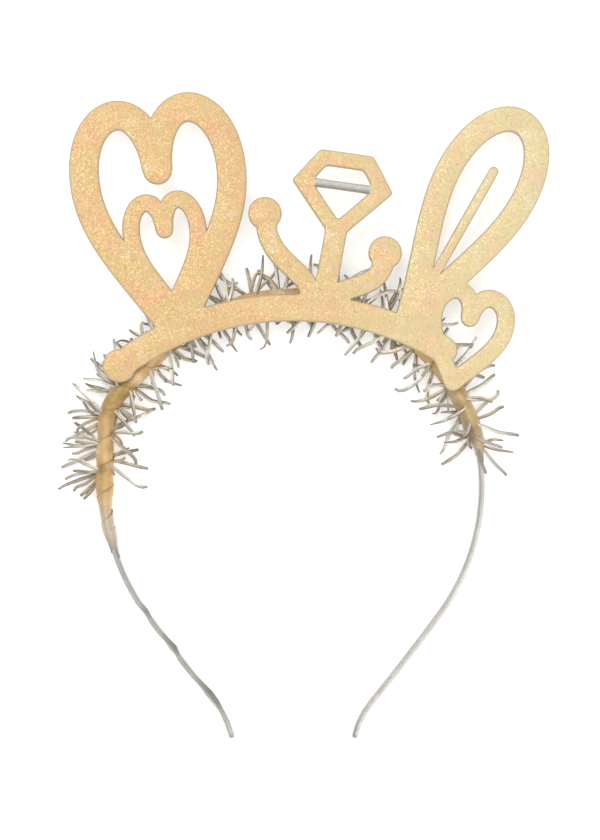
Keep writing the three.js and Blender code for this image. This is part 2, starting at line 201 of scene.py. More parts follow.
# Filler strips draw their tints from this share on, leaving out the lightest: painted shade in the dense
# fringe by the ribbon
FILLER_WIDTH = 0.85
FILLER_SHADED_TINT = 0.45
FILLER_FAN = math.radians(62)
FILLER_COUNT_START = 1000
FILLER_ASIDE_START = 500
FRONT_STRIPS_A_SIDE = 1
FRONT_STRIPS_FROM = 66 * MM
FRONT_STRIP_LENGTH = 0.6
SERIES = {
    "length": 0.6180339,
    "fan": 0.7548776,
    "rise": 0.5698402,
    "roll": 0.4655712,
    "bend": 0.3247179,
    "turn": 0.8191725,
    "kink": 0.6710436,
    "hook": 0.8566749,
    "tint": 0.2360679,
}

# Glitter panel
PANEL_BACK_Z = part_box("scroll_panel")[0].z
PANEL_FRONT_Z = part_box("scroll_panel")[1].z
PANEL_RIM_ROUND = 0.7 * MM
PANEL_RIM_SEGMENTS = 2
PANEL_CORNER = math.radians(33)
PANEL_CORNER_ROUND = 0.9 * MM
PANEL_CORNER_SEGMENTS = 4
PANEL_CORNER_ROOM = 2.2 * PANEL_CORNER_ROUND
PANEL_SHORTEST_EDGE = 0.5 * MM
PANEL_SMOOTH = math.radians(35)
PANEL_BACK_SLOPE = 0.05
SAME_CORNER = 0.005 * MM
SAME_POINT = 0.002 * MM
PANEL_CURVE_STEPS = 5
UNDER_PANEL_Y = 0.0
GEM_BAR_PLACE = (13.5 * MM, 76 * MM, 0)
GEM_BAR_LEAN = math.radians(-8)
GEM_BAR_HALF = {"X": 9.2 * MM, "Y": 1.5 * MM}
GEM_BAR_BLUR = 0.25 * MM
PALE_SIDE = (-20 * MM, 75 * MM)
FLAKE_COUNT = 6000
FLAKE_SEED = 7
FLAKE_SMALLEST = 0.3 * MM
FLAKE_LARGEST = 0.6 * MM
FLAKE_FLATNESS = 0.35
FLAKE_TILT = math.radians(14)
FACE_DEPTH = 0.01 * MM

# The table's size and glow, the studio's brightness, and the place, size and power of each light
TABLE_SIZE = 20
TABLE_GLOW = 0.42
STUDIO_BRIGHTNESS = 0.72
SOFTBOXES = {
    "key softbox": ((-0.5, 0.7, 1.5), 1.2, 10),
    "fill softbox": ((0.8, -0.5, 1.3), 1.2, 6),
}


def share(series, count):
    """Even but unrepeating shares between 0 and 1."""
    return (0.5 + count * SERIES[series]) % 1


def stray(series, count):
    """The same between -1 and 1."""
    return 2 * share(series, count) - 1


def lerp(low, high, part):
    return low + (high - low) * part


def smoothstep(value, low, high):
    part = np.clip((value - low) / (high - low), 0, 1)
    return part * part * (3 - 2 * part)


# Handling of pieces


def select_only(piece):
    bpy.ops.object.select_all(action="DESELECT")
    piece.select_set(True)
    bpy.context.view_layer.objects.active = piece


def in_edit_mode(piece, part="VERT"):
    select_only(piece)
    bpy.ops.object.mode_set(mode="EDIT")
    bpy.ops.mesh.select_mode(type=part)


def in_object_mode():
    bpy.ops.object.mode_set(mode="OBJECT")


def select_parts(piece, kind, chosen):
    """Leaves the piece in edit mode, with only the chosen vertices, edges or faces selected."""
    in_edit_mode(piece, {"vertices": "VERT", "edges": "EDGE", "polygons": "FACE"}[kind])
    bpy.ops.mesh.select_all(action="DESELECT")
    in_object_mode()
    for part in getattr(piece.data, kind):
        part.select = chosen(part)
    bpy.ops.object.mode_set(mode="EDIT")


def apply_modifiers(piece):
    select_only(piece)
    for modifier in list(piece.modifiers):
        bpy.ops.object.modifier_apply(modifier=modifier.name)


def places(piece):
    """The piece's vertices as an array."""
    flat = np.empty(3 * len(piece.data.vertices))
    piece.data.vertices.foreach_get("co", flat)
    return flat.reshape(-1, 3)


def set_places(piece, points):
    piece.data.vertices.foreach_set("co", np.asarray(points, float).ravel())
    piece.data.update()


def keep_value(piece, name, values):
    """Keeps one number for each vertex, for the materials to read."""
    attribute = piece.data.attributes.new(name, "FLOAT", "POINT")
    attribute.data.foreach_set("value", np.asarray(values, float))


def finish_piece(piece, name, node, slot, *materials):
    piece.name = name
    piece.data.name = name
    piece.data.materials.clear()
    for material in materials:
        piece.data.materials.append(material)
    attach(piece, "root")
    if node:
        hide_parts(node)


# The band's line


def band_frame(distance):
    """Place, direction and outward direction at a signed distance from the middle of the crown."""
    side = -1 if distance < 0 else 1
    left = abs(distance)
    heading = 0.0
    x = 0.0
    y = CROWN_RADIUS
    for length, turn, pace in (LEFT_HALF if side < 0 else RIGHT_HALF).values():
        walked = min(left, length)
        turned = turn * walked / length
        radius = pace * length / turn
        x += radius * (math.sin(heading + turned) - math.sin(heading))
        y += radius * (math.cos(heading + turned) - math.cos(heading))
        heading += turned
        left -= walked
    place = np.array((BAND_AXIS_X + side * x, CROWN_CENTRE_Y + y, BAND_Z))
    along = np.array((math.cos(heading), -side * math.sin(heading), 0))
    outward = np.array((side * math.sin(heading), math.cos(heading), 0))
    return place, along, outward


def make_band_line():
    """The curve that straight pieces are bent along, from the left tip to the right one."""
    curve = bpy.data.curves.new("band_line", "CURVE")
    curve.dimensions = "3D"
    curve.twist_mode = "Z_UP"
    spline = curve.splines.new("POLY")
    spline.points.add(BAND_LINE_POINTS - 1)
    for point, distance in zip(spline.points, np.linspace(-HALF_LENGTH, HALF_LENGTH, BAND_LINE_POINTS)):
        point.co = (*band_frame(distance)[0], 1)
    line = bpy.data.objects.new("band_line", curve)
    bpy.context.scene.collection.objects.link(line)
    return line


def length_from_tip(distance):
    """The real length of the band's line from the left tip, with the longer left shoulder."""
    lengths = np.array([length for length, turn, pace in LEFT_HALF.values()])
    paces = np.array([pace for length, turn, pace in LEFT_HALF.values()])
    marks = np.append(0, np.cumsum(lengths))
    walked = np.append(0, np.cumsum(lengths * paces))
    return walked[-1] + np.where(distance < 0, -np.interp(-distance, marks, walked), distance)


def bend_along(piece, line):
    """Bends a straight piece along the band's line: X is the distance, Y points outward and Z up."""
    points = places(piece)
    for axis, name in enumerate(("along", "outward", "upward")):
        keep_value(piece, name, points[:, axis])
    points[:, 0] = length_from_tip(points[:, 0])
    set_places(piece, points)
    modifier = piece.modifiers.new("band line", "CURVE")
    modifier.object = line
    modifier.deform_axis = "POS_X"
    apply_modifiers(piece)


# Sprung band


def band_twist(distance):
    before_tip = HALF_LENGTH + distance
    twist = np.zeros_like(distance)
    for place, length, angle in LEFT_LEG_TWIST:
        part = np.clip((before_tip - place) / length, -0.5, 0.5)
        twist += angle * np.cos(math.pi * part) ** 2
    return twist


def make_sprung_band(line):
    bpy.ops.object.select_all(action="DESELECT")
    bpy.ops.mesh.primitive_cube_add(size=1)
    band = bpy.context.object
    bpy.ops.transform.resize(value=(2 * HALF_LENGTH, BAND_THICKNESS, BAND_WIDTH))
    bpy.ops.object.transform_apply(scale=True)

    def direction(edge):
        ends = [band.data.vertices[i].co for i in edge.vertices]
        return (ends[1] - ends[0]).normalized()

    select_parts(band, "edges", lambda edge: abs(direction(edge).y) > 0.9)
    bpy.ops.mesh.bevel(offset=BAND_END_ROUND, segments=BAND_END_SEGMENTS, affect="EDGES")
    in_object_mode()
    select_parts(band, "edges", lambda edge: abs(direction(edge).x) > 0.999)
    bpy.ops.mesh.subdivide(number_cuts=BAND_RINGS)
    in_object_mode()
    edges = band.modifiers.new("rounded edges", "BEVEL")
    edges.width = BAND_EDGE_ROUND
    edges.segments = BAND_EDGE_SEGMENTS
    edges.limit_method = "ANGLE"
    edges.angle_limit = BAND_EDGE_ANGLE
    apply_modifiers(band)

    points = places(band)
    twist = band_twist(points[:, 0])
    shift = TWIST_SHIFT * BAND_WIDTH / 2 * np.sin(twist)
    out = points[:, 1] * np.cos(twist) - points[:, 2] * np.sin(twist) - shift
    up = points[:, 1] * np.sin(twist) + points[:, 2] * np.cos(twist)
    set_places(band, np.column_stack((points[:, 0], out, up)))
    # how far each place is twisted, kept for the painted shade at the twists
    keep_value(band, "twist_shade", twist / max(angle for place, length, angle in LEFT_LEG_TWIST))
    bend_along(band, line)
    select_only(band)
    bpy.ops.object.shade_smooth_by_angle(angle=BAND_SMOOTH)
    return band


# Satin ribbon


def winding_angle(distance, phase):
    return phase + 2 * math.pi * distance / WINDING_PITCH


def ribbon_noise(turn, across, along_changes, across_changes, layer):
    changes = zip(turn * along_changes, across * across_changes)
    return np.array([noise.noise((along, aside, layer)) for along, aside in changes])


def make_ribbon(line):
    """The ribbon as a flat strip, cut aslant at both ends and wound round the band in overlapping turns."""
    turns = (RIBBON_END - RIBBON_START) / WINDING_PITCH
    bpy.ops.object.select_all(action="DESELECT")
    bpy.ops.mesh.primitive_grid_add(
        x_subdivisions=round(turns * RIBBON_STEPS_A_TURN), y_subdivisions=RIBBON_STEPS_ACROSS, size=2
    )
    ribbon = bpy.context.object
    flat = places(ribbon)
    across = flat[:, 1]
    straight = lerp(RIBBON_START, RIBBON_END, (flat[:, 0] + 1) / 2)
    distance = straight + RIBBON_CUT * (1 - across) / 2
    turn = distance / WINDING_PITCH

    noise.seed_set(RIBBON_SEED)
    wander = np.array([noise.noise_vector((value, *WANDER_PLACE)) for value in turn * WANDER_CHANGES])
    crowding = RIBBON_CROWDING[0] * smoothstep(distance, RIBBON_START + RIBBON_CROWDED, RIBBON_START)
    crowding -= RIBBON_CROWDING[1] * smoothstep(distance, RIBBON_END - RIBBON_CROWDED, RIBBON_END)
    place = distance + crowding + WANDER_SHIFT * wander[:, 0]
    place += across * RIBBON_WIDTH / 2 * (1 + WANDER_WIDTH * wander[:, 1])

    spread = smoothstep(place, *RIBBON_SPREADS)
    from_end = np.minimum(place - RIBBON_LIMITS[0], RIBBON_LIMITS[1] - place)
    from_cut = np.minimum(straight - RIBBON_START, RIBBON_END - straight)
    outer_edge = smoothstep(across * np.sign(straight), *RIBBON_OUTER_EDGE)
    snug = np.maximum.reduce((
        smoothstep(from_end, RIBBON_SNUG_END, 0),
        smoothstep(from_cut, RIBBON_CUT, 0),
        outer_edge * smoothstep(from_cut, *RIBBON_SNUG_EDGE),
    ))
    skin = lerp(RIBBON_SKIN_ALONE, RIBBON_SKIN, spread[:, None])
    skin = lerp(skin, RIBBON_SKIN_END, snug[:, None])
    tuck = RIBBON_TUCK * (1 - across) / 2 * (1 + WANDER_TUCK * wander[:, 2]) * (1 - snug)
    folds = ribbon_noise(turn, across, *CREASES)
    folds += RIBBON_PUCKER_SHARE * ribbon_noise(turn, across, *PUCKERS)
    folds *= lerp(1, SNUG_FOLDS, snug)
    radius = skin - tuck[:, None] + RIBBON_FOLD * folds[:, None]

    angle = winding_angle(distance, 0)
    power = 2 / lerp(LOOSE_SQUARENESS, SNUG_SQUARENESS, snug)
    out = radius[:, 0] * np.sign(np.cos(angle)) * np.abs(np.cos(angle)) ** power
    up = radius[:, 1] * np.sign(np.sin(angle)) * np.abs(np.sin(angle)) ** power
    set_places(ribbon, np.column_stack((place, out, up)))
    keep_value(ribbon, "ribbon_across", across)
    keep_value(ribbon, "ribbon_length", turn * 2 * math.pi * RIBBON_SKIN.mean())

    wall = ribbon.modifiers.new("cloth", "SOLIDIFY")
    wall.thickness = RIBBON_THICKNESS
    wall.offset = 0
    apply_modifiers(ribbon)
    bend_along(ribbon, line)
    select_only(ribbon)
    bpy.ops.object.shade_smooth_by_angle(angle=RIBBON_SMOOTH)
    return ribbon


# Tinsel fringe


def make_blade():
    """One strip of foil, folded along its middle: X runs from root to tip, and Y from edge to edge."""
    bpy.ops.object.select_all(action="DESELECT")
    bpy.ops.mesh.primitive_grid_add(x_subdivisions=STRIP_SEGMENTS, y_subdivisions=2, size=2)
    blade = bpy.context.object
    select_parts(blade, "vertices", lambda vertex: abs(vertex.co.y) < 0.1)
    bpy.ops.transform.translate(value=(0, 0, STRIP_CREASE))
    in_object_mode()
    film = blade.modifiers.new("film", "SOLIDIFY")
    film.thickness = STRIP_THICKNESS
    film.offset = 0
    apply_modifiers(blade)
    return blade


def fillers_at(distance):
    """How many short strips fill up the fringe where it passes one side of the band."""
    outside = math.cos(winding_angle(distance, FRINGE_PHASE)) > 0
    if outside and distance < LEFT_BUNCH_UNTIL:
        return FILLER_STRIPS["left bunch"]
    if outside and RIGHT_OUTSIDE[0] < distance < RIGHT_OUTSIDE[1]:
        return FILLER_STRIPS["right outside"]
    return FILLER_STRIPS["elsewhere"]


def near_end(distance):
    """Nothing along the crown, rising steeply to one at the right end and to minus one at the left end."""
    middle = (FRINGE_START + FRINGE_END) / 2
    return ((distance - middle) / (FRINGE_END - middle)) ** END_SPLAY_STEEPNESS


def on_skin(distance, angle, skin):
    place, along, outward = band_frame(distance)
    return place + outward * skin[0] * math.cos(angle) + np.array((0, 0, skin[1] * math.sin(angle)))


def strip_points(shape, count, distance, aside, kind):
    """The blade's vertices, moved to their places in one strip of the fringe."""
    angle = math.pi / 2 if kind == "front" else winding_angle(distance, FRINGE_PHASE)
    out_or_in = math.copysign(1, aside if kind == "front" else math.cos(angle))
    place, along, outward = band_frame(distance)
    inner = on_skin(distance, angle, INNER_SKIN)
    root = lerp(inner, on_skin(distance, angle, FRINGE_SKIN), STRIP_ROOT_DEPTH)
    length = lerp(STRIP_SHORTEST, STRIP_LONGEST, share("length", count))
    fan = STRIP_FAN * aside + STRIP_FAN_STRAY * stray("fan", count) + STRIP_END_SPLAY * near_end(distance)
    rise = lerp((1 + out_or_in * aside) / 2, share("rise", count), STRIP_RISE_STRAY)
    width = STRIP_WIDTH
    if kind != "main":
        length *= FRONT_STRIP_LENGTH if kind == "front" else FILLER_LENGTH[out_or_in]
        width *= FILLER_WIDTH
        fan = FILLER_FAN * stray("fan", count) + FILLER_END_SPLAY * near_end(distance)
        rise = 1 if kind == "front" else share("rise", count)
    under_panel = root[1] > UNDER_PANEL_Y
    tip_z = lerp(STRIP_LOWEST_Z, PANEL_BACK_Z - STRIP_WIDTH if under_panel else STRIP_HIGHEST_Z, rise)

    def course(part):
        bend = STRIP_BEND * stray("bend", count) * smoothstep(part, *STRIP_BEND_SPAN)
        kink = STRIP_KINK * stray("kink", count) * smoothstep(part, *STRIP_KINK_SPAN)
        hook = STRIP_HOOK * stray("hook", count) ** 3 * smoothstep(part, *STRIP_HOOK_SPAN)
        return fan + bend + kink + hook

    steps = np.linspace(0, 1, STRIP_WALK_STEPS + 1)
    ahead = np.column_stack((out_or_in * np.cos(course(steps)), np.sin(course(steps))))
    walked = np.cumsum((ahead[1:] + ahead[:-1]) / 2 * length / STRIP_WALK_STEPS, axis=0)
    walked = np.vstack(((0, 0), walked))
    part = (shape[:, 0] + 1) / 2
    out = np.interp(part, steps, walked[:, 0])
    on = np.interp(part, steps, walked[:, 1])
    sag = STRIP_SAG * stray("turn", count) * np.sin(math.pi * part)
    up = np.maximum(lerp(root[2], tip_z, part) + sag, STRIP_LOWEST_Z)

    turned = course(part)
    side = np.outer(-np.sin(turned) * out_or_in, outward) + np.outer(np.cos(turned), along)
    roll = STRIP_ROLL * stray("roll", count) + STRIP_TURN * stray("turn", count) * part ** 2
    level = np.cos(roll)[:, None]
    tilt = np.sin(roll)[:, None]
    across = side * level + np.array((0, 0, 1)) * tilt
    through = np.array((0, 0, 1)) * level - side * tilt
    taper = np.interp(part, list(STRIP_TAPER), list(STRIP_TAPER.values()))
    centre = root[:2] + np.outer(out, outward[:2]) + np.outer(on, along[:2])
    centre = np.column_stack((centre, up))
    half = (shape[:, 1] * width / 2 * taper)[:, None]
    return centre + across * half + through * shape[:, 2][:, None]


def make_tinsel():
    blade = make_blade()
    shape = places(blade)
    half_turn = WINDING_PITCH / 2
    first_pass = math.ceil(FRINGE_START / half_turn) + 1
    last_pass = math.floor(FRINGE_END / half_turn) - 1
    strips = []
    for step in range(first_pass, last_pass + 2):
        kinds = ["main"] * STRIPS_A_SIDE if step <= last_pass else []
        kinds += ["filler"] * fillers_at(step * half_turn)
        if step * half_turn > FRONT_STRIPS_FROM:
            kinds += ["front"] * FRONT_STRIPS_A_SIDE
        for number, kind in enumerate(kinds):
            if kind == "main":
                count = 1 + (step - first_pass) * STRIPS_A_SIDE + number
                aside = 2 * number / (STRIPS_A_SIDE - 1) - 1
            else:
                count = FILLER_COUNT_START + (step - first_pass) * max(FILLER_STRIPS.values()) + number
                aside = stray("length", count + FILLER_ASIDE_START)
            distance = step * half_turn + WINDING_PITCH * STRIP_ROOT_SPREAD * aside
            strip = bpy.data.objects.new("strip", blade.data.copy())
            bpy.context.scene.collection.objects.link(strip)
            set_places(strip, strip_points(shape, count, distance, aside, kind))
            # filler strips take only the darker tints: painted shade
            tint = lerp(0 if kind == "main" else FILLER_SHADED_TINT, 1, share("tint", count))
            keep_value(strip, "tint", np.full(len(shape), tint))
            keep_value(strip, "tip", (shape[:, 0] + 1) / 2)
            keep_value(strip, "fold", shape[:, 1])
            strips.append(strip)
    bpy.data.objects.remove(blade)
    bpy.ops.object.select_all(action="DESELECT")
    for strip in strips:
        strip.select_set(True)
    bpy.context.view_layer.objects.active = strips[0]
    bpy.ops.object.join()
    tinsel = bpy.context.object
    in_edit_mode(tinsel)
    bpy.ops.mesh.select_all(action="SELECT")
    bpy.ops.mesh.normals_make_consistent(inside=False)
    in_object_mode()
    bpy.ops.object.shade_smooth_by_angle(angle=STRIP_SMOOTH)
    return tinsel


# Glitter panel


def outline_loops(sheet):
    """The vertices of each loop of bare edges, in order, from the leftmost one and upwards."""
    points = [tuple(vertex.co) for vertex in sheet.data.vertices]
    neighbours = {vertex.index: [] for vertex in sheet.data.vertices}
    for edge in sheet.data.edges:
        first, second = edge.vertices
        neighbours[first].append(second)
        neighbours[second].append(first)
    loops = []
    while neighbours:
        here = min(neighbours, key=lambda number: points[number])
        loop = []
        while here is not None:
            loop.append(here)
            ahead = [other for other in neighbours.pop(here) if other in neighbours]
            here = max(ahead, key=lambda number: points[number][1], default=None)
        loops.append(loop)
    return loops


def panel_outline():
    """The outlines of the solid panel's front, as loops of bare edges with rounded corners."""
    sheet = bpy.data.objects.new("panel_outline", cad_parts["scroll_panel"].data.copy())
    bpy.context.scene.collection.objects.link(sheet)
    in_edit_mode(sheet)
    bpy.ops.mesh.select_all(action="SELECT")
    bpy.ops.mesh.remove_doubles(threshold=SAME_CORNER)
    in_object_mode()
    select_parts(sheet, "vertices", lambda vertex: vertex.co.z < (PANEL_BACK_Z + PANEL_FRONT_Z) / 2)
    bpy.ops.mesh.delete(type="VERT")
    bpy.ops.mesh.select_mode(type="EDGE")
    bpy.ops.mesh.select_all(action="SELECT")
    bpy.ops.mesh.region_to_loop()
    bpy.ops.mesh.select_all(action="INVERT")
    bpy.ops.mesh.delete(type="EDGE_FACE")
    bpy.ops.mesh.select_all(action="SELECT")
    bpy.ops.mesh.delete_loose(use_verts=True, use_edges=False, use_faces=False)
    in_object_mode()

    crowded = set()
    for loop in outline_loops(sheet):
        kept = loop[0]
        for number in loop[1:]:
            point = sheet.data.vertices[number].co
            room = min((point - sheet.data.vertices[other].co).length for other in (kept, loop[0]))
            if room < PANEL_SHORTEST_EDGE:
                crowded.add(number)
            else:
                kept = number
    select_parts(sheet, "vertices", lambda vertex: vertex.index in crowded)
    bpy.ops.mesh.dissolve_verts()
    in_object_mode()

    corners = set()
    for loop in outline_loops(sheet):
        points = [sheet.data.vertices[number].co for number in loop]
        around = zip(loop, points[-1:] + points, points, points[1:] + points[:1])
        for number, before, point, after in around:
            roomy = min((point - before).length, (after - point).length) > PANEL_CORNER_ROOM
            if roomy and (point - before).angle(after - point) > PANEL_CORNER:
                corners.add(number)
    select_parts(sheet, "vertices", lambda vertex: vertex.index in corners)
    bpy.ops.mesh.bevel(offset=PANEL_CORNER_ROUND, segments=PANEL_CORNER_SEGMENTS, affect="VERTICES")
    in_object_mode()
    return sheet


def make_panel():
    """The panel as a flat outline curve, smooth but for its corners, raised to its thickness."""
    panel = panel_outline()
    select_only(panel)
    bpy.ops.object.convert(target="CURVE")
    bpy.ops.object.mode_set(mode="EDIT")
    bpy.ops.curve.select_all(action="SELECT")
    bpy.ops.curve.spline_type_set(type="BEZIER")
    bpy.ops.curve.handle_type_set(type="AUTOMATIC")
    in_object_mode()
    curve = panel.data
    curve.dimensions = "2D"
    curve.fill_mode = "BOTH"
    curve.resolution_u = PANEL_CURVE_STEPS
    for spline in curve.splines:
        points = spline.bezier_points
        for before, point, after in zip(points[-1:] + points[:-1], points, points[1:] + points[:1]):
            if (point.co - before.co).angle(after.co - point.co) > PANEL_CORNER:
                point.handle_left_type = "VECTOR"
                point.handle_right_type = "VECTOR"
    curve.bevel_depth = PANEL_RIM_ROUND
    curve.bevel_resolution = PANEL_RIM_SEGMENTS
    curve.offset = -PANEL_RIM_ROUND
    curve.extrude = (PANEL_FRONT_Z - PANEL_BACK_Z) / 2 - PANEL_RIM_ROUND
    bpy.ops.object.convert(target="MESH")
    panel = bpy.context.object
    panel.data.transform(Matrix.Translation((0, 0, (PANEL_FRONT_Z + PANEL_BACK_Z) / 2)))
    in_edit_mode(panel)
    bpy.ops.mesh.select_all(action="SELECT")
    bpy.ops.mesh.remove_doubles(threshold=SAME_POINT)
    bpy.ops.mesh.normals_make_consistent(inside=False)
    in_object_mode()
    bpy.ops.object.shade_smooth_by_angle(angle=PANEL_SMOOTH)
    return panel


def make_flakes(panel):
    """Loose glitter on the panel's face: flat twenty-sided stones, half sunk in, joined into one mesh."""
    random = np.random.default_rng(FLAKE_SEED)
    panel.data.calc_loop_triangles()
    corners = places(panel)[[list(face.vertices) for face in panel.data.loop_triangles]]
    corners = corners[np.all(corners[:, :, 2] > PANEL_FRONT_Z - FACE_DEPTH, axis=1)]
    area = np.linalg.norm(np.cross(corners[:, 1] - corners[:, 0], corners[:, 2] - corners[:, 0]), axis=1)
    chosen = corners[random.choice(len(corners), FLAKE_COUNT, p=area / area.sum())]
    weights = random.dirichlet((1, 1, 1), FLAKE_COUNT)
    centres = np.einsum("fc,fcx->fx", weights, chosen)

    bpy.ops.object.select_all(action="DESELECT")
    bpy.ops.mesh.primitive_ico_sphere_add(subdivisions=1, radius=1)
    stone = bpy.context.object
    bpy.ops.transform.resize(value=(0.5, 0.5, FLAKE_FLATNESS / 2))
    bpy.ops.object.transform_apply(scale=True)
    shape = places(stone)
    faces = np.array([list(face.vertices) for face in stone.data.polygons])
    bpy.data.objects.remove(stone)

    size = random.uniform(FLAKE_SMALLEST, FLAKE_LARGEST, FLAKE_COUNT)
    tilts = [
        Euler((tilt_x, tilt_y, turn)).to_matrix()
        for tilt_x, tilt_y, turn in zip(
            random.normal(0, FLAKE_TILT, FLAKE_COUNT),
            random.normal(0, FLAKE_TILT, FLAKE_COUNT),
            random.uniform(0, 2 * math.pi, FLAKE_COUNT),
        )
    ]
    points = np.einsum("fij,vj->fvi", np.array(tilts), shape) * size[:, None, None] + centres[:, None, :]
    indices = faces[None] + len(shape) * np.arange(FLAKE_COUNT)[:, None, None]
    mesh = bpy.data.meshes.new("flakes")
    mesh.from_pydata(points.reshape(-1, 3).tolist(), [], indices.reshape(-1, 3).tolist())
    flakes = bpy.data.objects.new("flakes", mesh)
    bpy.context.scene.collection.objects.link(flakes)
    keep_value(flakes, "tint", np.repeat(random.uniform(0, 1, FLAKE_COUNT), len(shape)))
    return flakes


# Shader nodes


def add_node(tree, kind, settings=None, **inputs):
    """A shader node with its settings, and its inputs by name, as values or as links."""
    node = tree.nodes.new("ShaderNode" + kind)
    for key, value in (settings or {}).items():
        setattr(node, key, value)
    for key, value in inputs.items():
        set_input(tree, node.inputs[key.replace("_", " ")], value)
    return node


def set_input(tree, socket, value):
    if isinstance(value, bpy.types.NodeSocket):
        tree.links.new(value, socket)
    else:
        socket.default_value = value


def calculate(tree, operation, first, second=0.0):
    node = add_node(tree, "Math", {"operation": operation})
    set_input(tree, node.inputs[0], first)
    set_input(tree, node.inputs[1], second)
    return node.outputs["Value"]


def limits(tree, value, low, high, to_low=0.0, to_high=1.0):
    """A value brought from one range into another one, and kept inside it."""
    node = add_node(
        tree, "MapRange", Value=value, From_Min=low, From_Max=high, To_Min=to_low, To_Max=to_high
    )
    return node.outputs["Result"]


def mix_colors(tree, part, first, second, way="MIX"):
    node = add_node(tree, "Mix", {"data_type": "RGBA", "blend_type": way})
    for socket, value in zip((node.inputs[0], node.inputs[6], node.inputs[7]), (part, first, second)):
        set_input(tree, socket, value if isinstance(value, (float, bpy.types.NodeSocket)) else (*value, 1))
    return node.outputs[2]


def color_ramp(tree, part, *stops):
    """A colour for each share from 0 to 1, evenly from the first stop to the last one."""
    node = add_node(tree, "ValToRGB", Fac=part)
    elements = node.color_ramp.elements
    while len(elements) < len(stops):
        elements.new(0.5)
    for number, color in enumerate(stops):
        elements[number].position = number / (len(stops) - 1)
        elements[number].color = (*color, 1)
    return node.outputs["Color"]


def attribute(tree, name):
    return add_node(tree, "Attribute", {"attribute_name": name}).outputs["Fac"]


def object_place(tree):
    return add_node(tree, "TexCoord").outputs["Object"]


def combined(tree, x, y, z):
    return add_node(tree, "CombineXYZ", X=x, Y=y, Z=z).outputs["Vector"]


def bump(tree, height, depth, strength=1.0):
    return add_node(tree, "Bump", Height=height, Distance=depth, Strength=strength).outputs["Normal"]


def new_group(name, inputs, outputs):
    """A node group with named sockets, and its input and output nodes."""
    tree = bpy.data.node_groups.new(name, "ShaderNodeTree")
    for socket, kind in inputs.items():
        tree.interface.new_socket(socket, in_out="INPUT", socket_type="NodeSocket" + kind)
    for socket, kind in outputs.items():
        tree.interface.new_socket(socket, in_out="OUTPUT", socket_type="NodeSocket" + kind)
    return tree, tree.nodes.new("NodeGroupInput"), tree.nodes.new("NodeGroupOutput")


def use_group(tree, group, **inputs):
    node = tree.nodes.new("ShaderNodeGroup")
    node.node_tree = group
    for key, value in inputs.items():
        set_input(tree, node.inputs[key.replace("_", " ")], value)
    return node


def make_drift_group():
    """Slow change over the surface, in patches of about the given size."""
    tree, given, made = new_group("colour drift", {"Place": "Vector", "Patch": "Float"}, {"Drift": "Float"})
    scale = calculate(tree, "DIVIDE", 1.0, given.outputs["Patch"])
    patches = add_node(
        tree, "TexNoise", Vector=given.outputs["Place"], Scale=scale, Detail=3.0, Roughness=0.55
    )
    tree.links.new(limits(tree, patches.outputs["Fac"], 0.3, 0.7), made.inputs["Drift"])
    return tree


def make_streak_group():
    """Fine lines along X, as left by brushing, weaving or drawing."""
    inputs = {"Place": "Vector", "Line": "Float", "Run": "Float"}
    tree, given, made = new_group("streaks", inputs, {"Streak": "Float"})
    across = calculate(tree, "DIVIDE", 1.0, given.outputs["Line"])
    along = calculate(tree, "DIVIDE", 1.0, given.outputs["Run"])
    stretch = combined(tree, along, across, across)
    place = add_node(tree, "VectorMath", {"operation": "MULTIPLY"})
    tree.links.new(given.outputs["Place"], place.inputs[0])
    tree.links.new(stretch, place.inputs[1])
    lines = add_node(tree, "TexNoise", Vector=place.outputs["Vector"], Scale=1.0, Detail=2.0, Roughness=0.6)
    tree.links.new(limits(tree, lines.outputs["Fac"], 0.25, 0.75), made.inputs["Streak"])
    return tree


def make_glitter_group():
    """Cells of glitter: a random shade for each one, and a normal that leans its own way."""
    inputs = {"Place": "Vector", "Cell": "Float", "Lean": "Float"}
    outputs = {"Shade": "Float", "Spark": "Float", "Normal": "Vector"}
    tree, given, made = new_group("glitter", inputs, outputs)
    scale = calculate(tree, "DIVIDE", 1.0, given.outputs["Cell"])
    cells = add_node(tree, "TexVoronoi", Vector=given.outputs["Place"], Scale=scale)
    parts = add_node(tree, "SeparateColor", Color=cells.outputs["Color"])
    tree.links.new(parts.outputs["Red"], made.inputs["Shade"])
    tree.links.new(parts.outputs["Green"], made.inputs["Spark"])
    centred = add_node(tree, "VectorMath", {"operation": "SUBTRACT"})
    tree.links.new(cells.outputs["Color"], centred.inputs[0])
    centred.inputs[1].default_value = (0.5, 0.5, 0.5)
    leant = add_node(tree, "VectorMath", {"operation": "SCALE"})
    tree.links.new(centred.outputs["Vector"], leant.inputs[0])
    tree.links.new(given.outputs["Lean"], leant.inputs["Scale"])
    normal = add_node(tree, "VectorMath", {"operation": "ADD"})
    tree.links.new(add_node(tree, "NewGeometry").outputs["Normal"], normal.inputs[0])
    tree.links.new(leant.outputs["Vector"], normal.inputs[1])
    unit = add_node(tree, "VectorMath", {"operation": "NORMALIZE"})
    tree.links.new(normal.outputs["Vector"], unit.inputs[0])
    tree.links.new(unit.outputs["Vector"], made.inputs["Normal"])
    return tree


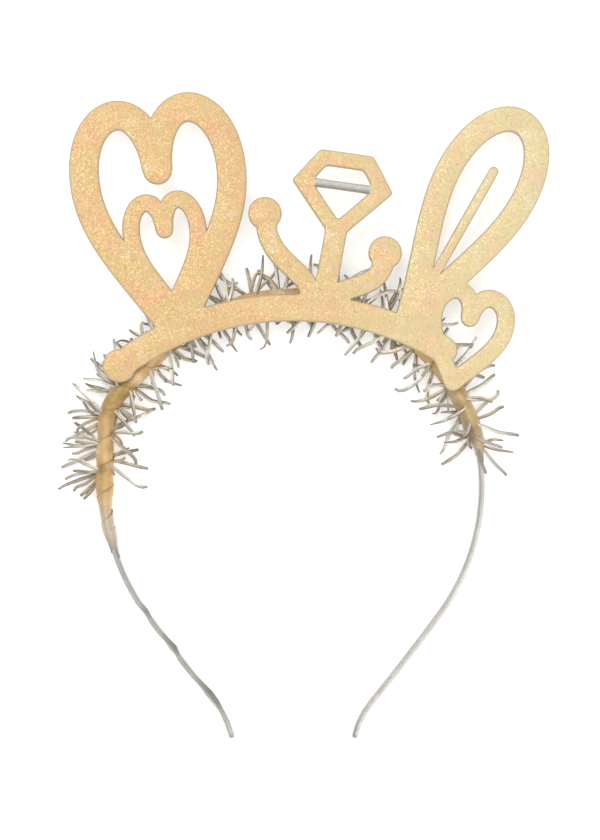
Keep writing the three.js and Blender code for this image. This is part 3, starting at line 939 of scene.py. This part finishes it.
def make_panel_zone_group():
    """Whether a place is on the bar across the gem, how far down the bar, and how far to the pale side."""
    outputs = {"Bar": "Float", "Down": "Float", "Pale": "Float"}
    tree, given, made = new_group("panel zones", {"Place": "Vector"}, outputs)
    upright = add_node(
        tree, "Mapping", {"vector_type": "TEXTURE"},
        Vector=given.outputs["Place"], Location=GEM_BAR_PLACE, Rotation=(0, 0, GEM_BAR_LEAN),
    )
    parts = add_node(tree, "SeparateXYZ", Vector=upright.outputs["Vector"])
    masks = [
        limits(
            tree, calculate(tree, "ABSOLUTE", parts.outputs[axis]), half + GEM_BAR_BLUR, half - GEM_BAR_BLUR
        )
        for axis, half in GEM_BAR_HALF.items()
    ]
    tree.links.new(calculate(tree, "MULTIPLY", *masks), made.inputs["Bar"])
    down = limits(tree, parts.outputs["Y"], GEM_BAR_HALF["Y"], -GEM_BAR_HALF["Y"])
    tree.links.new(down, made.inputs["Down"])
    side = add_node(tree, "SeparateXYZ", Vector=given.outputs["Place"]).outputs["X"]
    tree.links.new(limits(tree, side, *PALE_SIDE), made.inputs["Pale"])
    return tree


# Materials


def new_material(name):
    """A material, its node tree and its shader."""
    material = bpy.data.materials.new(name)
    material.use_nodes = True
    return material, material.node_tree, material.node_tree.nodes["Principled BSDF"]


def set_shader(tree, shader, **inputs):
    for key, value in inputs.items():
        set_input(tree, shader.inputs[key.replace("_", " ")], value)


def plated_steel(streaks, drift):
    """Brushed strip with a pale champagne plating, with painted shade where the leg is twisted and on the
    band's inner side.
    """
    material, tree, shader = new_material("plated steel")
    place = combined(tree, attribute(tree, "along"), attribute(tree, "outward"), attribute(tree, "upward"))
    brushing = use_group(tree, streaks, Place=place, Line=0.12 * MM, Run=9 * MM).outputs["Streak"]
    tarnish = use_group(tree, drift, Place=place, Patch=5 * MM).outputs["Drift"]
    color = color_ramp(tree, tarnish, (0.46, 0.44, 0.395), (0.53, 0.51, 0.47), (0.58, 0.565, 0.525))
    # painted shade at the twists, where the band turns sideways to the light
    twist_shade = limits(tree, attribute(tree, "twist_shade"), 0.15, 0.9, 0.0, 0.85)
    color = mix_colors(tree, twist_shade, color, (0.17, 0.165, 0.14))
    color = mix_colors(tree, limits(tree, brushing, 0, 1, 0.0, 0.3), color, (0.62, 0.6, 0.55))
    # painted shade on the band's inner side
    inner = limits(tree, attribute(tree, "outward"), 0.2 * MM, -0.7 * MM, 0.0, 0.5)
    color = mix_colors(tree, inner, color, (0.26, 0.25, 0.22))
    set_shader(
        tree, shader,
        Base_Color=color,
        Metallic=0.95,
        Roughness=limits(tree, brushing, 0, 1, 0.42, 0.26),
        Normal=bump(tree, brushing, 0.02 * MM),
    )
    return material


def gold_satin(streaks, drift):
    """Satin ribbon: lengthwise threads, woven edges, olive and pale patches, stains, a painted shadow of
    the panel, and colour changes towards its ends.
    """
    material, tree, shader = new_material("gold satin")
    length = attribute(tree, "ribbon_length")
    across = attribute(tree, "ribbon_across")
    along = attribute(tree, "along")
    place = combined(tree, length, calculate(tree, "MULTIPLY", across, RIBBON_WIDTH / 2), 0.0)
    threads = use_group(tree, streaks, Place=place, Line=0.16 * MM, Run=3.5 * MM).outputs["Streak"]
    patches = use_group(tree, drift, Place=object_place(tree), Patch=5 * MM).outputs["Drift"]
    color = color_ramp(
        tree, patches,
        (0.4, 0.29, 0.09), (0.6, 0.36, 0.14), (0.67, 0.44, 0.19), (0.76, 0.57, 0.33),
    )
    color = mix_colors(tree, limits(tree, threads, 0, 1, 0.0, 0.35), color, (0.76, 0.55, 0.3))
    specks = use_group(tree, drift, Place=object_place(tree), Patch=1.6 * MM).outputs["Drift"]
    color = mix_colors(tree, limits(tree, specks, 0.86, 1, 0.0, 0.6), color, (0.3, 0.19, 0.06))
    edge = limits(tree, calculate(tree, "ABSOLUTE", across), 0.86, 0.97)
    color = mix_colors(tree, calculate(tree, "MULTIPLY", edge, 0.45), color, (0.28, 0.17, 0.06))
    for begin, full, strength, tone in RIBBON_ENDS:
        color = mix_colors(tree, limits(tree, along, begin, full, 0.0, strength), color, tone)
    uneven = limits(tree, patches, 0.2, 0.7, 1.0, 0.6)
    outward = attribute(tree, "outward")
    # stains, and the painted shadow of the panel
    for middles, reaches, strength, tone in RIBBON_STAINS_AND_SHADOW:
        away = [
            calculate(tree, "DIVIDE", calculate(tree, "SUBTRACT", value, middle), reach)
            for value, middle, reach in zip((along, outward), middles, reaches)
        ]
        away = add_node(tree, "VectorMath", {"operation": "LENGTH"}, Vector=combined(tree, *away, 0.0))
        marked = limits(tree, away.outputs["Value"], 1, 0.35, 0.0, strength)
        color = mix_colors(tree, calculate(tree, "MULTIPLY", marked, uneven), color, tone)
    set_shader(
        tree, shader,
        Base_Color=color,
        Metallic=0.35,
        Roughness=limits(tree, threads, 0, 1, 0.5, 0.32),
        Normal=bump(tree, threads, 0.05 * MM),
        Sheen_Weight=0.25,
        Sheen_Roughness=0.4,
    )
    return material


def tinsel_foil(streaks, drift):
    """Metallised film in silver, champagne and smoke, each strip its own tint, with a painted dark
    reflection at the curled tips.
    """
    material, tree, shader = new_material("tinsel foil")
    tint = attribute(tree, "tint")
    tip = attribute(tree, "tip")
    color = color_ramp(
        tree, tint,
        (0.76, 0.74, 0.67), (0.57, 0.535, 0.45), (0.68, 0.655, 0.58),
        (0.58, 0.485, 0.35), (0.39, 0.36, 0.3),
    )
    smoke = use_group(tree, drift, Place=object_place(tree), Patch=2.5 * MM).outputs["Drift"]
    color = mix_colors(tree, limits(tree, smoke, 0, 1, 0.0, 0.35), color, (0.32, 0.295, 0.25))
    # painted dark reflection at the curled tips
    color = mix_colors(tree, limits(tree, tip, 0.7, 1, 0.0, 0.6), color, (0.22, 0.205, 0.19))
    place = combined(tree, calculate(tree, "MULTIPLY", attribute(tree, "fold"), 1 * MM), tip, tint)
    crinkle = use_group(tree, streaks, Place=place, Line=0.05, Run=1.2 * MM).outputs["Streak"]
    set_shader(
        tree, shader,
        Base_Color=color,
        Metallic=0.8,
        Roughness=limits(tree, crinkle, 0, 1, 0.3, 0.48),
        Normal=bump(tree, crinkle, 0.12 * MM, 0.7),
    )
    return material


def rim_mask(tree):
    """One on the rounded rim and the cut sides of the panel, nothing on its flat face."""
    normal = add_node(tree, "SeparateXYZ", Vector=add_node(tree, "NewGeometry").outputs["Normal"])
    return limits(tree, normal.outputs["Z"], 0.985, 0.72)


def gold_glitter(glitter, drift, panel_zones):
    """Fine glitter in peach gold, silver on the gem's bar with painted shade on its lower half, brighter
    grains, and painted shade in patches on the rim.
    """
    material, tree, shader = new_material("gold glitter")
    place = object_place(tree)
    grains = use_group(tree, glitter, Place=place, Cell=0.34 * MM, Lean=0.32)
    fine = use_group(tree, glitter, Place=place, Cell=0.17 * MM, Lean=0.3)
    color = color_ramp(
        tree, grains.outputs["Shade"],
        (0.61, 0.395, 0.19), (0.67, 0.44, 0.21), (0.71, 0.475, 0.24), (0.75, 0.52, 0.28),
    )
    color = mix_colors(tree, limits(tree, fine.outputs["Shade"], 0, 1, 0.0, 0.4), color, (0.74, 0.51, 0.27))
    patches = use_group(tree, drift, Place=place, Patch=7 * MM).outputs["Drift"]
    hue = color_ramp(
        tree, patches,
        (0.73, 0.39, 0.225), (0.73, 0.46, 0.235), (0.66, 0.495, 0.205), (0.76, 0.57, 0.385),
    )
    color = mix_colors(tree, 0.6, color, hue)
    zones = use_group(tree, panel_zones, Place=place)
    color = mix_colors(tree, zones.outputs["Pale"], color, (0.035, 0.13, 0.115), "ADD")
    # silver on the gem's bar, darker towards its lower edge: painted shade
    silver = color_ramp(
        tree, zones.outputs["Down"],
        (0.62, 0.6, 0.56), (0.5, 0.49, 0.46), (0.15, 0.145, 0.135),
    )
    color = mix_colors(tree, zones.outputs["Bar"], color, silver)
    # painted shade on the rounded rim, in patches by the grains
    patchy = limits(tree, grains.outputs["Spark"], 0, 1, 0.6, 0.95)
    rim_shade = calculate(tree, "MULTIPLY", rim_mask(tree), patchy)
    color = mix_colors(tree, rim_shade, color, (0.47, 0.4, 0.27))
    set_shader(
        tree, shader,
        Base_Color=color,
        Metallic=limits(tree, grains.outputs["Spark"], 0.6, 1, 0.2, 0.8),
        Roughness=limits(tree, grains.outputs["Spark"], 0.5, 1, 0.6, 0.38),
        Normal=grains.outputs["Normal"],
    )
    return material


def loose_glitter(panel_zones):
    """The larger grains that stand on the face."""
    material, tree, shader = new_material("loose glitter")
    color = color_ramp(
        tree, attribute(tree, "tint"),
        (0.58, 0.36, 0.15), (0.72, 0.47, 0.22), (0.78, 0.57, 0.31), (0.85, 0.7, 0.46),
    )
    zones = use_group(tree, panel_zones, Place=object_place(tree))
    color = mix_colors(tree, zones.outputs["Pale"], color, (0.06, 0.12, 0.11), "ADD")
    # silver on the gem's bar, darker towards its lower edge: painted shade
    silver = color_ramp(
        tree, zones.outputs["Down"],
        (0.68, 0.66, 0.62), (0.55, 0.54, 0.51), (0.22, 0.215, 0.2),
    )
    color = mix_colors(tree, zones.outputs["Bar"], color, silver)
    set_shader(tree, shader, Base_Color=color, Metallic=0.7, Roughness=0.4)
    return material


def pressed_card(streaks, drift):
    """The board behind the glitter: warm grey card with short fibres."""
    material, tree, shader = new_material("pressed card")
    place = object_place(tree)
    fibres = use_group(tree, streaks, Place=place, Line=0.25 * MM, Run=2 * MM).outputs["Streak"]
    patches = use_group(tree, drift, Place=place, Patch=9 * MM).outputs["Drift"]
    color = color_ramp(tree, patches, (0.44, 0.37, 0.27), (0.5, 0.43, 0.32), (0.55, 0.48, 0.37))
    color = mix_colors(tree, limits(tree, fibres, 0, 1, 0.0, 0.3), color, (0.62, 0.56, 0.45))
    set_shader(tree, shader, Base_Color=color, Roughness=0.85, Normal=bump(tree, fibres, 0.05 * MM, 0.6))
    return material


def white_table():
    """A white light table, on which there is hardly a shadow."""
    material, tree, shader = new_material("white table")
    set_shader(
        tree, shader,
        Base_Color=(0.8, 0.8, 0.8, 1),
        Roughness=0.9,
        Emission_Color=(1, 1, 1, 1),
        Emission_Strength=TABLE_GLOW,
    )
    return material


# Table, light and camera


def make_table():
    bpy.ops.object.select_all(action="DESELECT")
    bpy.ops.mesh.primitive_plane_add(size=TABLE_SIZE)
    table = bpy.context.object
    table.name = "table"
    table.data.materials.append(white_table())


def add_softbox(name, place, size, power):
    light = bpy.data.lights.new(name, "AREA")
    light.shape = "DISK"
    light.size = size
    light.energy = power
    box = bpy.data.objects.new(name, light)
    box.location = place
    box.rotation_euler = Vector(place).to_track_quat("Z", "Y").to_euler()
    bpy.context.scene.collection.objects.link(box)


def make_light():
    world = bpy.data.worlds.new("studio")
    world.use_nodes = True
    background = world.node_tree.nodes["Background"]
    background.inputs["Color"].default_value = (1, 1, 1, 1)
    background.inputs["Strength"].default_value = STUDIO_BRIGHTNESS
    bpy.context.scene.world = world
    for name, (place, size, power) in SOFTBOXES.items():
        add_softbox(name, place, size, power)
    bpy.context.scene.view_settings.view_transform = "Standard"


def make_camera():
    camera = bpy.data.cameras.new("camera")
    camera.sensor_width = SENSOR
    subject = CAMERA_HEIGHT - PANEL_BACK_Z
    camera.lens = SENSOR * subject / (FRAME_HEIGHT * PIXEL)
    holder = bpy.data.objects.new("camera", camera)
    holder.location = (*FRAME_CENTRE, CAMERA_HEIGHT)
    bpy.context.scene.collection.objects.link(holder)
    bpy.context.scene.camera = holder


make_table()
make_light()
make_camera()

band_line = make_band_line()
sprung_band = make_sprung_band(band_line)
satin_ribbon = make_ribbon(band_line)
bpy.data.objects.remove(band_line)
tinsel_fringe = make_tinsel()
glitter_panel = make_panel()
glitter_flakes = make_flakes(glitter_panel)

streak_group = make_streak_group()
drift_group = make_drift_group()
glitter_group = make_glitter_group()
panel_zone_group = make_panel_zone_group()
finish_piece(sprung_band, "sprung_band", "head_band", "band_metal", plated_steel(streak_group, drift_group))
finish_piece(
    satin_ribbon, "satin_ribbon", "ribbon_wrap", "gold_ribbon", gold_satin(streak_group, drift_group)
)
finish_piece(
    tinsel_fringe, "tinsel_fringe", "tinsel_garland", "tinsel_foil", tinsel_foil(streak_group, drift_group)
)
finish_piece(
    glitter_panel, "glitter_panel", "scroll_panel", "glitter_board",
    gold_glitter(glitter_group, drift_group, panel_zone_group), pressed_card(streak_group, drift_group),
)
for face in glitter_panel.data.polygons:
    face.material_index = int(face.normal.z < PANEL_BACK_SLOPE)
finish_piece(glitter_flakes, "glitter_flakes", None, "glitter_board", loose_glitter(panel_zone_group))
